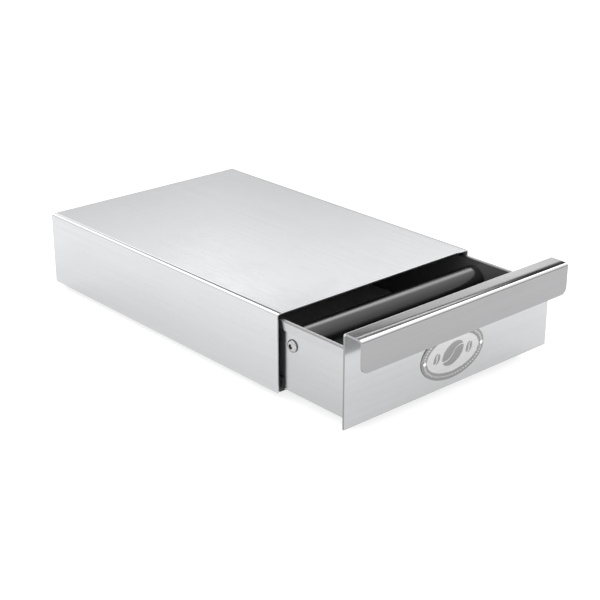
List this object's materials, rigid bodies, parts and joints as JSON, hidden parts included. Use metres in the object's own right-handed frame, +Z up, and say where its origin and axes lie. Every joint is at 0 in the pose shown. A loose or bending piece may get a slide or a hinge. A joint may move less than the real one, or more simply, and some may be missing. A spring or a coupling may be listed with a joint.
{
  "type": "espresso knock box",
  "caption": "Low steel knock box for spent espresso pucks: a sliding drawer with a rubber-covered knock bar and a folded full-width handle, in a flat-topped steel casing.",
  "frame": {"origin": "on the table, below the middle of the box with its drawer partly open as modelled", "axes": "+Z up, drawer front and handle towards -Y, +X to the right of someone standing before the drawer"},
  "size_m": [0.208, 0.3758, 0.0775],
  "materials": {
    "casing_steel": "fine satin stainless steel",
    "drawer_steel": "fine satin stainless steel",
    "front_steel": "fine satin stainless steel with polished bends",
    "rod_steel": "plain drawn steel rod",
    "screw_steel": "polished stainless steel",
    "badge_metal": "embossed, with a darker rim",
    "rivet_metal": "bright",
    "bar_rubber": "smooth black rubber, slightly shiny",
    "foot_rubber": "matt black rubber",
    "glide_plastic": "black low-friction plastic"
  },
  "bodies": {
    "casing": {"casing_shell": "casing_steel", "base_plate": "casing_steel", "back_panel": "casing_steel", "glide_strip_left": "glide_plastic", "glide_strip_right": "glide_plastic", "side_guide_left": "glide_plastic", "side_guide_right": "glide_plastic", "rear_bumper_left": "foot_rubber", "rear_bumper_right": "foot_rubber", "foot_front_left": "foot_rubber", "foot_front_right": "foot_rubber", "foot_rear_left": "foot_rubber", "foot_rear_right": "foot_rubber"},
    "drawer": {"drawer_tray": "drawer_steel", "front_panel": "front_steel", "knock_bar_core": "rod_steel", "knock_bar_sleeve": "bar_rubber", "bar_screw_left": "screw_steel", "bar_screw_right": "screw_steel", "badge_plate": "badge_metal", "badge_rivets": "rivet_metal"}
  },
  "joints": [
    {"name": "drawer_slide", "type": "slide", "parent": "casing", "child": "drawer", "axis": [0, -1, 0], "range_m": [-0.072, 0.206]}
  ]
}
